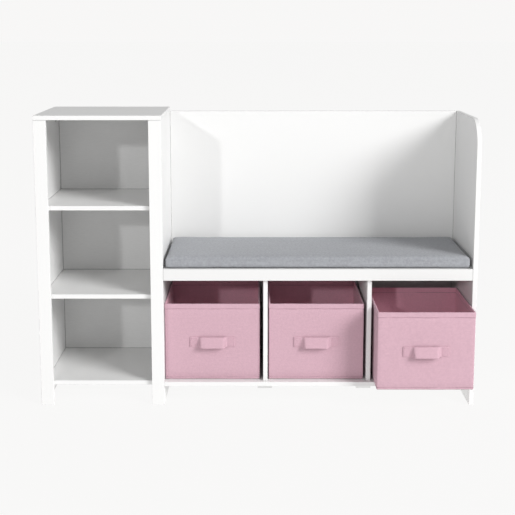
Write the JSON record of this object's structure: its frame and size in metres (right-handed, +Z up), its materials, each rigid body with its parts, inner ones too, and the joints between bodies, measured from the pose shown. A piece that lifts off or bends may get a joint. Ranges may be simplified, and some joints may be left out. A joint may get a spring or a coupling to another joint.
{
  "type": "kids bookcase bench",
  "caption": "White children's bookcase joined to a low bench seat with a backrest, a grey seat cushion and pull-out fabric storage bins with strap handles.",
  "frame": {"origin": "on the floor, midway along the width, and midway between the back and the handle of the bin that stands pulled out", "axes": "+X to the right seen from the front, +Y to the back, +Z up"},
  "size_m": [1.19, 0.381, 0.8],
  "materials": {
    "white_board": "satin white paint on fibreboard",
    "white_hardboard": "white foil on thin hardboard",
    "zinc": "die-cast zinc",
    "steel": "bright zinc-plated steel",
    "beech": "raw beech",
    "grey_linen": "woven grey linen",
    "foam": "soft foam",
    "pink_fabric": "matt non-woven fabric",
    "grey_board": "grey cardboard",
    "pink_insert": "fabric over stiff board",
    "pink_strap": "folded and stitched fabric strap"
  },
  "bodies": {
    "frame": {"bookcase_top": "white_board", "left_side": "white_board", "centre_side": "white_board", "left_stile": "white_board", "right_stile": "white_board", "bottom_shelf": "white_board", "middle_shelf": "white_board", "upper_shelf": "white_board", "right_side": "white_board", "bench_back": "white_board", "seat_board": "white_board", "seat_rail": "white_board", "bench_bottom": "white_board", "divider_left": "white_board", "divider_right": "white_board", "centre_foot_left": "white_board", "centre_foot_right": "white_board", "bookcase_back": "white_hardboard", "cam_locks": "zinc", "cam_bolts": "steel", "wood_dowels": "beech", "back_screws": "steel", "back_nails": "steel"},
    "cushion": {"cushion_cover": "grey_linen", "cushion_foam": "foam"},
    "bin_1": {"bin_1_fabric": "pink_fabric", "bin_1_wall_boards": "grey_board", "bin_1_handle": "pink_strap"},
    "bin_1_base": {"bin_1_base_insert": "pink_insert"},
    "bin_2": {"bin_2_fabric": "pink_fabric", "bin_2_wall_boards": "grey_board", "bin_2_handle": "pink_strap"},
    "bin_2_base": {"bin_2_base_insert": "pink_insert"},
    "bin_3": {"bin_3_fabric": "pink_fabric", "bin_3_wall_boards": "grey_board", "bin_3_handle": "pink_strap"},
    "bin_3_base": {"bin_3_base_insert": "pink_insert"}
  },
  "joints": [
    {"name": "cushion_lift", "type": "slide", "parent": "frame", "child": "cushion", "axis": [0, 0, 1], "range_m": [0, 0.3]},
    {"name": "bin_1_slide", "type": "slide", "parent": "frame", "child": "bin_1", "axis": [0, -1, 0], "range_m": [0, 0.25]},
    {"name": "bin_1_base_lift", "type": "slide", "parent": "bin_1", "child": "bin_1_base", "axis": [0, 0, 1], "range_m": [0, 0.2]},
    {"name": "bin_2_slide", "type": "slide", "parent": "frame", "child": "bin_2", "axis": [0, -1, 0], "range_m": [0, 0.25]},
    {"name": "bin_2_base_lift", "type": "slide", "parent": "bin_2", "child": "bin_2_base", "axis": [0, 0, 1], "range_m": [0, 0.2]},
    {"name": "bin_3_slide", "type": "slide", "parent": "frame", "child": "bin_3", "axis": [0, -1, 0], "range_m": [-0.084, 0.166]},
    {"name": "bin_3_base_lift", "type": "slide", "parent": "bin_3", "child": "bin_3_base", "axis": [0, 0, 1], "range_m": [0, 0.2]}
  ]
}
